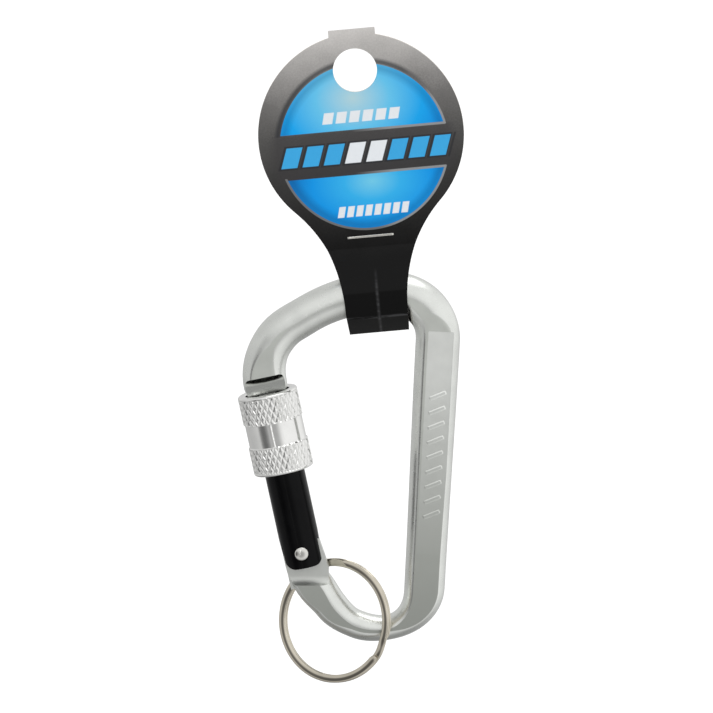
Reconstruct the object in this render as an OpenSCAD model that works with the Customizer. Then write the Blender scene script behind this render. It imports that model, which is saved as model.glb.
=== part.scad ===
// Screw-lock accessory carabiner with a split ring and a looped card tag.
// Millimetres, +Z up. The origin is the inside of the top bow, where the
// clip hangs. The clip's plane is XZ, the spine is on +X and the gate on -X.

/* [Frame bar] */
// Width of the bar at the top of the bow
bow_width = 8.8; // [7.6:0.1:9]
// Width of the pressed spine, across the clip's plane
spine_width = 9.4; // [8.4:0.1:10]
// Width of the bar at its narrowest, in the bottom bow
heel_width = 5.3; // [5:0.1:7]
// Thickness of the pressed spine, nose and tongue
flat_thickness = 7.2; // [6.4:0.1:8]

/* [Frame outline] */
// Length of the straight spine between the two bends
spine_length = 53.2; // [52:0.1:54.5]
// Centreline radius of the bend from the bow into the spine
crown_radius = 9.75; // [8.5:0.25:11]
// Centreline radius of the long arc over the top bow
arm_radius = 32; // [28:1:36]
// Centreline radius of the hook that turns down into the nose
hook_radius = 12.4; // [11:0.1:13.5]
// Centreline radius of the bend from the spine into the bottom bow
heel_radius = 9.3; // [8.5:0.1:10.5]
// Centreline radius of the bottom bow
toe_radius = 12.6; // [11.5:0.1:14]
// Angle that the gate leans out from the spine
gate_lean = 15.1; // [13:0.1:17]

/* [Gate] */
// Outside diameter of the gate rod
gate_diameter = 8.5; // [8.2:0.1:8.8]
// Distance from the hinge rivet to the gate's top face
gate_reach = 34.35; // [34:0.05:34.4]
// Diameter of the hinge rivet
rivet_diameter = 2.5; // [2:0.1:3]
// Diameter of the cross pin that catches the nose
latch_pin_diameter = 1.3; // [1:0.1:1.4]

/* [Locking sleeve] */
// Outside diameter over the knurled bands
sleeve_diameter = 12.8; // [12.4:0.1:14]
// Length of the sleeve
sleeve_length = 17.3; // [15:0.1:17.6]
// Bore of the sleeve
sleeve_bore = 9.5; // [9.4:0.05:9.8]

/* [Split ring] */
// Outside diameter of the ring
ring_diameter = 26.5; // [25:0.1:28]
// Radial width of the flattened wire
ring_wire_width = 1.7; // [1.3:0.1:1.9]
// Thickness of one turn of the wire
ring_wire_thickness = 0.7; // [0.6:0.05:0.9]

/* [Hang tag] */
// Diameter of the tag's round face
tag_diameter = 43.5; // [40:0.5:46]
// Thickness of one layer of card
card_thickness = 0.4; // [0.3:0.05:0.5]
// Diameter of the punched hang hole
hang_hole_diameter = 9.3; // [6:0.1:10]

/* [Hidden] */
$fn = 64;
eps = 0.01;

// ---- frame bar: rows of [turn, radius or length, end width, end thickness, end squareness]
arm_turn = 34;
toe_turn = 62.5;
step_turn = 26;
step_bend_radius = 14;
hook_turn = 90 + gate_lean - arm_turn;
heel_turn = 270 - gate_lean - 90 - toe_turn - step_turn;
crown_squareness = 2;
spine_squareness = 2.9;
end_squareness = 2.6;
nose_width = 9.3;
tongue_width = 8.2;
knee_length = 5;
tongue_straight = 2.3;
apex = [0, bow_width / 2];

spine_side = [
    [-90, crown_radius, spine_width, flat_thickness, spine_squareness],
    [0, spine_length, spine_width - 0.8, flat_thickness, spine_squareness],
    [-heel_turn, heel_radius, heel_width, flat_thickness - 0.2, end_squareness],
    [-toe_turn, toe_radius, heel_width + 1.9, flat_thickness, end_squareness],
    [0, knee_length, heel_width + 2.7, flat_thickness, end_squareness],
    [-step_turn, step_bend_radius, tongue_width, flat_thickness, end_squareness],
    [0, tongue_straight, tongue_width, flat_thickness, end_squareness]
];

// A point at fraction f along a segment that starts at p with heading h.
function along(p, h, seg, f) =
    seg[0] == 0
        ? p + seg[1] * f * [cos(h), sin(h)]
        : p + sign(seg[0]) * seg[1]
            * [sin(h + seg[0] * f) - sin(h), cos(h) - cos(h + seg[0] * f)];

// The start of segment i in a chain that begins at p with heading h.
function chain_at(chain, p, h, i, k = 0) =
    k == i ? [p, h] : chain_at(chain, along(p, h, chain[k], 1), h + chain[k][0], i, k + 1);

rivet_2d = chain_at(spine_side, apex, 0, len(spine_side))[0];
axis_up = [-sin(gate_lean), cos(gate_lean)];
axis_in = [cos(gate_lean), sin(gate_lean)];

// The arm's straight and the nose's straight close the outline on the gate's axis.
arm_start = [[arm_turn, arm_radius], [hook_turn, hook_radius]];
arm_end = chain_at(arm_start, apex, 180, 2)[0];
arm_dir = [-cos(arm_turn), -sin(arm_turn)];
arm_straight = -((arm_end - rivet_2d) * axis_in) / (arm_dir * axis_in);
nose_shoulder = 34.8;
nose_straight = (arm_end + arm_straight * arm_dir - rivet_2d) * axis_up - nose_shoulder;
nose_side = [
    [arm_turn, arm_radius, bow_width - 0.6, bow_width - 0.6, crown_squareness],
    [0, arm_straight, bow_width - 0.5, bow_width - 0.8, crown_squareness],
    [hook_turn, hook_radius, nose_width, flat_thickness, end_squareness],
    [0, nose_straight, nose_width - 0.7, flat_thickness, end_squareness]
];

bow_section = [bow_width, bow_width, crown_squareness];
station_pitch = 2.2;
section_sides = 24;

function smooth(f) = f * f * (3 - 2 * f);
function seg_length(seg) = seg[0] == 0 ? seg[1] : seg[1] * abs(seg[0]) * PI / 180;
function end_section(chain, i) =
    i < 0 ? bow_section : [chain[i][2], chain[i][3], chain[i][4]];

// Stations of a chain: [point, heading, [width, thickness, squareness]].
function stations(chain, p, h) = [
    for (i = [0 : len(chain) - 1])
        let (
            start = chain_at(chain, p, h, i),
            steps = max(1, ceil(seg_length(chain[i]) / station_pitch)),
            last = i == len(chain) - 1 ? steps : steps - 1
        )
        for (j = [0 : last])
            let (f = j / steps, from = end_section(chain, i - 1), to = end_section(chain, i))
            [along(start[0], start[1], chain[i], f), start[1] + chain[i][0] * f,
                from + (to - from) * smooth(f)]
];

// One ring of points: a rounded bar section square to the path.
function power(x, e) = sign(x) * pow(abs(x), e);
function bar_ring(st) = [
    for (k = [0 : section_sides - 1])
        let (
            a = 360 * (k + 0.5) / section_sides,
            u = st[2][0] / 2 * power(cos(a), 2 / st[2][2]),
            v = st[2][1] / 2 * power(sin(a), 2 / st[2][2])
        )
        [st[0][0] - u * sin(st[1]), v, st[0][1] + u * cos(st[1])]
];

module sweep(rings) {
    n = len(rings);
    m = len(rings[0]);
    points = [for (r = rings) each r];
    sides = [
        for (i = [0 : n - 2], k = [0 : m - 1])
            each [
                [i * m + k, i * m + (k + 1) % m, (i + 1) * m + (k + 1) % m],
                [i * m + k, (i + 1) * m + (k + 1) % m, (i + 1) * m + k]
            ]
    ];
    ends = [[for (k = [m - 1 : -1 : 0]) k], [for (k = [0 : m - 1]) (n - 1) * m + k]];
    polyhedron(points = points, faces = concat(sides, ends), convexity = 6);
}

right_stations = stations(spine_side, apex, 0);
left_stations = stations(nose_side, apex, 180);
bar_stations = concat(
    [for (i = [len(left_stations) - 1 : -1 : 1])
        [left_stations[i][0], left_stations[i][1] + 180, left_stations[i][2]]],
    right_stations
);

// ---- frame ends: both are milled to a blade with quarter-round steps
blade_thickness = 3.6;
step_radius = (flat_thickness - blade_thickness) / 2;
cutter_span = 20;
cutter_depth = 8;
nose_reach = 6;
tongue_reach = 14;
nose_step = 36.9;
tongue_step = -5.25;
tongue_step_tilt = -11.8;
tongue_left = 3.9;
tongue_tip_radius = 3.5;
cam_point = [2.0, 3.75];
cam_corner = [4.1, 2.0];
tongue_heel = [4.9, -4.6];
tongue_foot = [4.2, -7.5];
hook_half_width = 1.75;
hook_bottom = 31.9;
latch_height = 33.3;
latch_clearance = 0.12;

// Puts a child, drawn up the gate's axis from the hinge, into its place.
module on_gate_axis() {
    translate([rivet_2d[0], 0, rivet_2d[1]]) rotate([0, -gate_lean, 0]) children();
}

// Extrudes a side-view outline through the clip, centred on its plane.
module side_plate(thickness) {
    rotate([90, 0, 0]) linear_extrude(height = thickness, center = true) children();
}

// A cutter that leaves the blade below height 0 and a quarter-round above it.
module blade_cutter(reach) {
    for (face = [0, 1])
        mirror([0, face, 0])
            union() {
                translate([-cutter_span / 2, blade_thickness / 2, -reach])
                    cube([cutter_span, cutter_depth, reach]);
                translate([0, blade_thickness / 2 + step_radius, 0])
                    rotate([0, 90, 0]) cylinder(r = step_radius, h = cutter_span, center = true);
                translate([-cutter_span / 2, blade_thickness / 2 + step_radius, -eps])
                    cube([cutter_span, cutter_depth, step_radius + eps]);
            }
}

module tongue_outline() {
    circle(r = tongue_tip_radius);
    polygon([
        [-tongue_left, tongue_foot[1]], [-tongue_left, 0], [0, tongue_tip_radius - 0.5],
        cam_point, cam_corner, tongue_heel, tongue_foot
    ]);
}

module hook_outline() {
    difference() {
        translate([-hook_half_width, hook_bottom])
            square([2 * hook_half_width, nose_shoulder - hook_bottom + 1]);
        translate([0, latch_height]) circle(d = latch_pin_diameter + 2 * latch_clearance);
        translate([0, latch_height - latch_pin_diameter / 2 - latch_clearance])
            square([3, latch_pin_diameter + 2 * latch_clearance]);
    }
}

// ---- spine panel: a pocket that runs out to nothing at its foot, with a row of raised bars
panel_width = 5.4;
panel_length = 48;
panel_depth = 0.3;
panel_offset = 0.6;
panel_top = -2.8;
spine_x = crown_radius;
relief_count = 9;
relief_pitch = 3.2;
relief_start = 13.8;
relief_slant = 25;
relief_height = 0.15;
relief_root = 0.4;
relief_bar = [3.8, relief_height + relief_root, 0.9];

// Puts a child, drawn on the panel's floor with its top edge at height 0, into its place.
module on_panel() {
    translate([spine_x + panel_offset, panel_depth - flat_thickness / 2, panel_top])
        rotate([-atan(panel_depth / panel_length), 0, 0]) children();
}

module spine_panel() {
    on_panel() translate([-panel_width / 2, -1, -panel_length]) cube([panel_width, 1, panel_length]);
}

module panel_relief() {
    on_panel()
        for (i = [0 : relief_count - 1])
            translate([0, -relief_height, -relief_start - i * relief_pitch])
                rotate([0, -relief_slant, 0])
                    translate([-relief_bar[0] / 2, 0, -relief_bar[2] / 2]) cube(relief_bar);
}

rivet_clearance = 0.05;

module frame() {
    color("silver") {
        difference() {
            union() {
                difference() {
                    sweep([for (st = bar_stations) bar_ring(st)]);
                    on_gate_axis() translate([0, 0, nose_step]) blade_cutter(nose_reach);
                    on_gate_axis()
                        translate([0, 0, tongue_step])
                            rotate([0, -tongue_step_tilt, 0])
                                mirror([0, 0, 1]) blade_cutter(tongue_reach);
                    spine_panel();
                }
                panel_relief();
                on_gate_axis() side_plate(blade_thickness) tongue_outline();
                on_gate_axis() side_plate(blade_thickness) hook_outline();
            }
            on_gate_axis()
                rotate([90, 0, 0])
                    cylinder(d = rivet_diameter + 2 * rivet_clearance, h = 12, center = true);
        }
    }
}

// ---- gate: a rod with a forked foot, a spring bore and a slotted top
cheek_radius = 4.0;
cheek_drop = 3.2;
fork_gap = blade_thickness + 0.3;
fork_round = 4.2;
fork_inner_top = 7.5;
fork_reach = 8;
foot_top = 9;
foot_half_width = 4.6;
spring_bore_radius = 2.3;
spring_bore_top = 24;
top_slot_bottom = 30.5;
thread_radius = gate_diameter / 2;
thread_depth = 0.3;
thread_bottom = 18.6;
thread_turns = 14;
thread_pitch = 1.0;
thread_rise = 0.35 * thread_pitch;
thread_flat = 0.5 * thread_pitch;
thread_fall = 0.85 * thread_pitch;
spot_face_radius = 1.65;
spot_face_y = 3.95;

module gate_rod() {
    ridge = [
        for (i = [0 : thread_turns - 1])
            let (z = thread_bottom + i * thread_pitch)
            each [
                [thread_radius - thread_depth, z], [thread_radius, z + thread_rise],
                [thread_radius, z + thread_flat],
                [thread_radius - thread_depth, z + thread_fall]
            ]
    ];
    rotate_extrude()
        polygon(concat(
            [[0, -6], [gate_diameter / 2, -6], [gate_diameter / 2, thread_bottom - 0.4]],
            ridge,
            [[thread_radius - thread_depth, gate_reach - 0.4],
                [thread_radius - thread_depth - 0.4, gate_reach], [0, gate_reach]]
        ));
}

module gate_side_outline() {
    intersection() {
        circle(r = cheek_radius);
        translate([-cheek_radius, -cheek_drop])
            square([2 * cheek_radius, cheek_radius + cheek_drop]);
    }
    polygon([
        [-cheek_radius, 0], [cheek_radius, 0], [foot_half_width, foot_top],
        [foot_half_width, gate_reach + 1], [-foot_half_width, gate_reach + 1],
        [-foot_half_width, foot_top]
    ]);
}

module fork_outline() {
    circle(r = fork_round);
    translate([-fork_reach, -fork_reach]) square([2 * fork_reach, fork_reach]);
    translate([0, -eps]) square([fork_reach, fork_inner_top]);
}

module gate() {
    color([0.06, 0.06, 0.07])
        on_gate_axis()
            difference() {
                intersection() {
                    gate_rod();
                    side_plate(12) gate_side_outline();
                }
                side_plate(fork_gap) fork_outline();
                cylinder(r = spring_bore_radius, h = spring_bore_top);
                translate([-fork_reach, -fork_gap / 2, top_slot_bottom])
                    cube([2 * fork_reach, fork_gap, fork_reach]);
                rotate([90, 0, 0]) cylinder(d = rivet_diameter, h = 12, center = true);
                for (face = [0, 1])
                    mirror([0, face, 0])
                        rotate([90, 0, 0])
                            translate([0, 0, spot_face_y]) cylinder(r = spot_face_radius, h = 2);
                translate([0, 0, latch_height])
                    rotate([90, 0, 0]) cylinder(d = latch_pin_diameter, h = 12, center = true);
            }
}

// ---- hinge rivet with two domed heads
head_radius = 1.45;
head_rim = 0.25;
head_dome = 0.4;
latch_pin_length = 7.8;

module hinge_rivet() {
    dome_radius = (head_radius * head_radius + head_dome * head_dome) / (2 * head_dome);
    color("gainsboro")
        on_gate_axis()
            rotate([90, 0, 0]) {
                cylinder(d = rivet_diameter, h = 2 * spot_face_y, center = true);
                for (face = [0, 1])
                    mirror([0, 0, face])
                        translate([0, 0, spot_face_y]) {
                            cylinder(r = head_radius, h = head_rim);
                            intersection() {
                                cylinder(r = head_radius, h = head_rim + head_dome);
                                translate([0, 0, head_rim + head_dome - dome_radius])
                                    sphere(r = dome_radius);
                            }
                        }
            }
}

module latch_pin() {
    color("dimgray")
        on_gate_axis()
            translate([0, 0, latch_height])
                rotate([90, 0, 0]) cylinder(d = latch_pin_diameter, h = latch_pin_length, center = true);
}

// ---- spring plunger and coil spring inside the gate
plunger_face = cam_point[1] + 0.08;
plunger_radius = 2.2;
plunger_head = 2.2;
stem_radius = 0.9;
stem_length = 6;
spring_mean_radius = 1.75;
spring_wire_radius = 0.25;
spring_turns = 13;
spring_steps = 12;

module spring_plunger() {
    color("darkgray")
        on_gate_axis()
            translate([0, 0, plunger_face]) {
                cylinder(r = plunger_radius, h = plunger_head);
                cylinder(r = stem_radius, h = plunger_head + stem_length);
            }
}

module gate_spring() {
    bottom = plunger_face + plunger_head + spring_wire_radius;
    rise = spring_bore_top - spring_wire_radius - bottom;
    rings = [
        for (i = [0 : spring_turns * spring_steps])
            let (a = 360 * i / spring_steps, z = bottom + rise * i / (spring_turns * spring_steps))
            [
                for (k = [0 : 5])
                    let (r = spring_mean_radius + spring_wire_radius * cos(60 * k))
                    [r * cos(a), r * sin(a), z + spring_wire_radius * sin(60 * k)]
            ]
    ];
    color("lightsteelblue") on_gate_axis() sweep(rings);
}

// ---- locking sleeve: two gripping bands with a plain waist between
sleeve_rim = 35.1;
sleeve_bottom = sleeve_rim - sleeve_length;
sleeve_land = 5;
land_clearance = 0.1;
band_length = 6.1;
waist_step = 0.25;
edge_chamfer = 0.5;
land_chamfer = 0.3;

module lock_sleeve() {
    outer = sleeve_diameter / 2;
    inner = sleeve_bore / 2;
    land = gate_diameter / 2 + land_clearance;
    top = sleeve_length;
    color("whitesmoke")
        on_gate_axis()
            translate([0, 0, sleeve_bottom])
                rotate_extrude()
                    polygon([
                        [land, land_chamfer], [land + land_chamfer, 0], [outer - edge_chamfer, 0],
                        [outer, edge_chamfer], [outer, band_length],
                        [outer - waist_step, band_length + waist_step],
                        [outer - waist_step, top - band_length - waist_step],
                        [outer, top - band_length], [outer, top - edge_chamfer],
                        [outer - edge_chamfer, top], [inner, top],
                        [inner, sleeve_land + inner - land], [land, sleeve_land]
                    ]);
}

// ---- split ring: two flat turns of wire round the bottom bow
ring_centre = [-8.9, 0.4, -66.9];
ring_yaw = -28;
ring_pitch = -7;
ring_wrap = 700;
ring_step = 8;
jog_angle = 20;
jog_span = 20;
wire_bevel = 0.22;
turn_gap = 0.02;

module split_ring() {
    mean = ring_diameter / 2 - ring_wire_width / 2;
    half = [ring_wire_width / 2, (ring_wire_thickness - turn_gap) / 2];
    corner = [
        [half[0], half[1] - wire_bevel], [half[0] - wire_bevel, half[1]],
        [wire_bevel - half[0], half[1]], [-half[0], half[1] - wire_bevel],
        [-half[0], wire_bevel - half[1]], [wire_bevel - half[0], -half[1]],
        [half[0] - wire_bevel, -half[1]], [half[0], wire_bevel - half[1]]
    ];
    start = jog_angle + jog_span / 2;
    steps = ceil(ring_wrap / ring_step);
    rings = [
        for (i = [0 : steps])
            let (
                a = start + ring_wrap * i / steps,
                f = min(1, max(0, (a - jog_angle - 360) / jog_span + 0.5)),
                z = ring_wire_thickness * (smooth(f) - 0.5)
            )
            [for (k = [0 : 7]) [
                (mean + corner[k][0]) * cos(a), (mean + corner[k][0]) * sin(a), z + corner[k][1]
            ]]
    ];
    color("lightgray")
        translate(ring_centre) rotate([ring_pitch - 90, 0, ring_yaw]) sweep(rings);
}

// ---- hang tag: a folded card whose neck loops round the bow
tag_centre = [-3.9, 0, 4.2];
tag_lean = 8.3;
face_height = 34;
tab_width = 9.9;
tab_top = 56.7;
hang_hole_height = 47.9;
neck_half_width = 6.6;
neck_flare_radius = 30;
neck_flare_height = face_height - sqrt(
    pow(tag_diameter / 2 + neck_flare_radius, 2) - pow(neck_half_width + neck_flare_radius, 2));
fold_half_width = 6.3;
loop_join = 9.8;
loop_half_gap = 5.7;
loop_top = 1.3;
loop_bottom = -4.2;
fold_bottom = -8.1;

module on_tag() {
    translate(tag_centre) rotate([0, -tag_lean, 0]) children();
}

module tag_outline() {
    difference() {
        union() {
            translate([0, face_height]) circle(d = tag_diameter, $fn = 128);
            translate([-tab_width / 2, face_height]) square([tab_width, tab_top - face_height]);
            difference() {
                translate([-16, fold_bottom - 2]) square([32, face_height - fold_bottom - 14]);
                for (side = [-1, 1])
                    translate([side * (neck_half_width + neck_flare_radius), neck_flare_height])
                        circle(r = neck_flare_radius, $fn = 128);
                for (side = [0, 1])
                    mirror([side, 0])
                        polygon([
                            [neck_half_width, neck_flare_height], [fold_half_width, fold_bottom],
                            [fold_half_width, fold_bottom - 3], [30, fold_bottom - 3],
                            [30, neck_flare_height]
                        ]);
            }
        }
        translate([0, hang_hole_height]) circle(d = hang_hole_diameter);
    }
}

// The card's edge view: flat above, opening into a loop below.
module card_edge() {
    t = card_thickness;
    outside = loop_half_gap + t;
    difference() {
        polygon([
            [-t, tab_top], [t, tab_top], [t, loop_join + t / 2], [outside, loop_top],
            [outside, loop_bottom], [0.3, fold_bottom - t], [-0.3, fold_bottom - t],
            [-outside, loop_bottom], [-outside, loop_top], [-t, loop_join + t / 2]
        ]);
        polygon([
            [0, loop_join], [loop_half_gap, loop_top], [loop_half_gap, loop_bottom],
            [0, fold_bottom], [-loop_half_gap, loop_bottom], [-loop_half_gap, loop_top]
        ]);
    }
}

// ---- staple through the card, above the bow
staple_height = 12.3;
staple_length = 10.2;
staple_wire = 0.5;
staple_rise = 0.3;
staple_tail = 3.8;

module staple_leg(side) {
    translate([side * (staple_length - staple_wire) / 2, 0, staple_height])
        cube([staple_wire, 2 * (card_thickness + staple_rise), staple_wire], center = true);
}

module hang_tag() {
    color("dodgerblue")
        difference() {
            on_tag()
                intersection() {
                    side_plate(16) tag_outline();
                    rotate([90, 0, 90]) linear_extrude(height = 60, center = true) card_edge();
                }
            on_tag() staple_leg(-1);
            on_tag() staple_leg(1);
        }
}

module staple() {
    crown_y = card_thickness + staple_rise / 2;
    color("silver")
        on_tag() {
            translate([0, -crown_y, staple_height])
                cube([staple_length, staple_rise, staple_wire], center = true);
            for (side = [-1, 1]) {
                staple_leg(side);
                translate([side * (staple_length - staple_tail) / 2, crown_y, staple_height])
                    cube([staple_tail, staple_rise, staple_wire], center = true);
            }
        }
}

frame();
gate();
lock_sleeve();
hinge_rivet();
latch_pin();
spring_plunger();
gate_spring();
split_ring();
hang_tag();
staple();
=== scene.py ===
"""Screw-lock carabiner with a split ring and a looped card tag, on a pale floor.

Shapes are worked out in millimetres in the same frame as the CAD, and every mesh
is written in metres.
"""

import math

import bmesh
import bpy
import numpy as np
from mathutils import Matrix, Vector


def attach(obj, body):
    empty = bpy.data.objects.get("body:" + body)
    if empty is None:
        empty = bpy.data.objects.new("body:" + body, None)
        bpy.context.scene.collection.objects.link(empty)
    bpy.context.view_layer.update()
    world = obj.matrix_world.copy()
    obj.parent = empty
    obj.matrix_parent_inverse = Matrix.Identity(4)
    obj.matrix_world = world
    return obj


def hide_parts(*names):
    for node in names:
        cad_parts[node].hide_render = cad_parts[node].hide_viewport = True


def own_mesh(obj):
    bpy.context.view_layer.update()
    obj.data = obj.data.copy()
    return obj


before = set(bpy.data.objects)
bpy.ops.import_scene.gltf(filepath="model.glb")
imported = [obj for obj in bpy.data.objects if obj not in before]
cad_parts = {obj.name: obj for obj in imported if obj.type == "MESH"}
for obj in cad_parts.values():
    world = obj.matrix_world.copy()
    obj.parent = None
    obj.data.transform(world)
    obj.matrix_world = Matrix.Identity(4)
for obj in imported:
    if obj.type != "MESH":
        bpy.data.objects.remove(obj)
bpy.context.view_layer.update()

MM = 0.001

# ---------------------------------------------------------------- camera
AIM = Vector((-7.27, 0.0, -9.72)) * MM
VIEW_WIDTH = 151.0 * MM
LENS = 800.0
SENSOR = 36.0
ELEVATION = math.radians(10.0)
ROLL = math.radians(3.05)


def add_camera():
    """A very long lens from far off, so that the view is nearly parallel."""
    data = bpy.data.cameras.new("camera")
    data.lens = LENS
    data.sensor_width = SENSOR
    data.clip_start = 0.05
    data.clip_end = 20.0
    camera = bpy.data.objects.new("camera", data)
    bpy.context.scene.collection.objects.link(camera)
    distance = VIEW_WIDTH * LENS / SENSOR
    back = Vector((0.0, -math.cos(ELEVATION), math.sin(ELEVATION)))
    camera.location = AIM + back * distance
    look = (-back).to_track_quat("-Z", "Y").to_matrix().to_4x4()
    camera.matrix_world = Matrix.Translation(camera.location) @ look @ Matrix.Rotation(ROLL, 4, "Z")
    bpy.context.scene.camera = camera


add_camera()

# ---------------------------------------------------------------- material tools


def linear(red, green, blue):
    """A colour given as 0..255 screen values, as linear light."""
    out = []
    for value in (red, green, blue):
        v = value / 255.0
        out.append(v / 12.92 if v <= 0.04045 else ((v + 0.055) / 1.055) ** 2.4)
    return (*out, 1.0)


def fill_ramp(color_ramp, stops):
    """Gives a colour ramp its stops: (position, colour or grey level)."""
    elements = color_ramp.elements
    while len(elements) < len(stops):
        elements.new(0.5)
    for element, (position, colour) in zip(elements, stops):
        element.position = position
        element.color = colour if isinstance(colour, tuple) else (colour, colour, colour, 1.0)


def colour_output(node):
    return next(socket for socket in node.outputs if socket.type == "RGBA")


class Shader:
    """A material's node tree, with short calls for the nodes used here."""

    def __init__(self, name, **values):
        self.material = bpy.data.materials.new(name)
        self.material.use_nodes = True
        self.tree = self.material.node_tree
        self.tree.nodes.clear()
        output = self.tree.nodes.new("ShaderNodeOutputMaterial")
        self.bsdf = self.tree.nodes.new("ShaderNodeBsdfPrincipled")
        self.tree.links.new(self.bsdf.outputs["BSDF"], output.inputs["Surface"])
        for key, value in values.items():
            self.bsdf.inputs[key.replace("_", " ")].default_value = value
        coords = self.tree.nodes.new("ShaderNodeTexCoord")
        self.place = coords.outputs["Object"]

    def put(self, socket, value):
        if isinstance(value, bpy.types.NodeSocket):
            self.tree.links.new(value, socket)
        else:
            socket.default_value = value

    def set(self, name, value):
        self.put(self.bsdf.inputs[name], value)

    def axes(self):
        """The object's own x, y and z, in metres."""
        node = self.tree.nodes.new("ShaderNodeSeparateXYZ")
        self.put(node.inputs[0], self.place)
        return node.outputs

    def math(self, operation, *values, clamp=False):
        node = self.tree.nodes.new("ShaderNodeMath")
        node.operation = operation
        node.use_clamp = clamp
        for socket, value in zip(node.inputs, values):
            self.put(socket, value)
        return node.outputs[0]

    def ramp(self, value, stops):
        """A colour ramp through (position, colour or grey level)."""
        node = self.tree.nodes.new("ShaderNodeValToRGB")
        fill_ramp(node.color_ramp, stops)
        self.put(node.inputs["Fac"], value)
        return node.outputs["Color"]

    def mix(self, factor, first, second):
        node = self.tree.nodes.new("ShaderNodeMix")
        node.data_type = "RGBA"
        self.put(node.inputs["Factor"], factor)
        self.put(node.inputs["A"], first)
        self.put(node.inputs["B"], second)
        return colour_output(node)

    def stretched(self, scale):
        node = self.tree.nodes.new("ShaderNodeMapping")
        self.put(node.inputs["Vector"], self.place)
        node.inputs["Scale"].default_value = scale
        return node.outputs["Vector"]

    def noise(self, grain_mm, detail, stretch=(1.0, 1.0, 1.0), roughness=0.5):
        """Noise whose grains are about grain_mm across."""
        node = self.tree.nodes.new("ShaderNodeTexNoise")
        self.put(node.inputs["Vector"], self.stretched(stretch))
        node.inputs["Scale"].default_value = 1.0 / (grain_mm * MM)
        node.inputs["Detail"].default_value = detail
        node.inputs["Roughness"].default_value = roughness
        return node.outputs["Fac"]

    def bump(self, height, depth_mm, strength=1.0):
        node = self.tree.nodes.new("ShaderNodeBump")
        node.inputs["Strength"].default_value = strength
        node.inputs["Distance"].default_value = depth_mm * MM
        self.put(node.inputs["Height"], height)
        self.put(self.bsdf.inputs["Normal"], node.outputs["Normal"])


CLOUD_GRAIN = 4.0
GLOSSIEST = 0.02


def metal(name, colour, roughness, spread, grain, depth, stretch=(1, 1, 1), tint=0.06, foot=None):
    """A metal with slow colour changes, a grain in its gloss and a fine bump.

    With foot=(top, bottom, colour) it turns to that colour between the two heights: painted shade, darker
    lower down.
    """
    s = Shader(name, Metallic=1.0)
    dark = tuple(c * (1.0 - tint) for c in colour[:3]) + (1.0,)
    cloud = s.noise(CLOUD_GRAIN, 2.0)
    fine = s.noise(grain, 4.0, stretch, 0.6)
    base = s.ramp(cloud, [(0.35, dark), (0.65, colour)])
    if foot:
        # Painted shade: the base colour darkens from the top height to the bottom one.
        top, bottom, painted_shade_colour = foot
        drop = s.math("SUBTRACT", top * MM, s.axes()[2])
        base = s.mix(s.math("DIVIDE", drop, (top - bottom) * MM, clamp=True), base, painted_shade_colour)
    s.set("Base Color", base)
    gloss = [(0.3, max(GLOSSIEST, roughness - spread)), (0.7, roughness + spread)]
    s.set("Roughness", s.ramp(fine, gloss))
    s.bump(fine, depth)
    return s.material


# ---------------------------------------------------------------- mesh tools
SHARP_DEGREES = 32.0
CORNER_STEPS = 4
# A turned profile ends this close to its axis.
AXIS_R = 0.01


def mesh_object(name, points, faces, materials, indices=None):
    mesh = bpy.data.meshes.new(name)
    mesh.from_pydata([tuple(c * MM for c in p) for p in points], [], faces)
    for material in materials:
        mesh.materials.append(material)
    if indices is not None:
        mesh.polygons.foreach_set("material_index", indices)
    bm = bmesh.new()
    bm.from_mesh(mesh)
    bmesh.ops.recalc_face_normals(bm, faces=bm.faces)
    bm.to_mesh(mesh)
    bm.free()
    obj = bpy.data.objects.new(name, mesh)
    bpy.context.scene.collection.objects.link(obj)
    return obj


def settle(obj):
    """Applies every modifier on the object."""
    graph = bpy.context.evaluated_depsgraph_get()
    mesh = bpy.data.meshes.new_from_object(obj.evaluated_get(graph))
    obj.modifiers.clear()
    obj.data = mesh


def combine(obj, operation, shape, materials, slot=0):
    """Joins or cuts the object with a shape, whose faces take one material slot."""
    points, faces = shape
    tool = mesh_object("tool", points, faces, materials, [slot] * len(faces))
    modifier = obj.modifiers.new("combine", "BOOLEAN")
    modifier.solver = "EXACT"
    modifier.operation = operation
    modifier.object = tool
    settle(obj)
    bpy.data.objects.remove(tool, do_unlink=True)


def soften(obj, width_mm, degrees):
    """Small rounds on the edges sharper than the angle given."""
    modifier = obj.modifiers.new("soften", "BEVEL")
    modifier.width = width_mm * MM
    modifier.segments = 2
    modifier.limit_method = "ANGLE"
    modifier.angle_limit = math.radians(degrees)
    modifier.use_clamp_overlap = True
    settle(obj)


def finish_piece(obj, body, slot, *nodes):
    """Smooth shading between the sharp edges, and the piece's place in the frame."""
    for polygon in obj.data.polygons:
        polygon.use_smooth = True
    obj.data.set_sharp_from_angle(angle=math.radians(SHARP_DEGREES))
    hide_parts(*nodes)
    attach(obj, body)


def tube_faces(rings, sides, closed=False):
    """Quads between rings of points, with an end cap on an open tube."""
    faces = []
    for i in range(rings if closed else rings - 1):
        here, there = i * sides, (i + 1) % rings * sides
        for k in range(sides):
            n = (k + 1) % sides
            faces.append((here + k, here + n, there + n, there + k))
    if not closed:
        faces.append(tuple(range(sides)))
        faces.append(tuple((rings - 1) * sides + k for k in range(sides)))
    return faces


def lathe(profile, turns, place, wrinkle=None):
    """A closed profile of (radius, height) turned about the height axis."""
    points = []
    for j in range(turns):
        a = 2.0 * math.pi * j / turns
        for radius, height in profile:
            r = radius if wrinkle is None else wrinkle(radius, height, a)
            points.append(place((r * math.cos(a), r * math.sin(a), height)))
    return points, tube_faces(turns, len(profile), closed=True)


def prism(outline, low, high, place):
    """The outline, a list of (a, b), from low to high along the third axis."""
    n = len(outline)
    points = [place(a, b, c) for c in (low, high) for a, b in outline]
    faces = [tuple(range(n)), tuple(range(2 * n - 1, n - 1, -1))]
    faces += [(k, (k + 1) % n, n + (k + 1) % n, n + k) for k in range(n)]
    return points, faces


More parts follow.
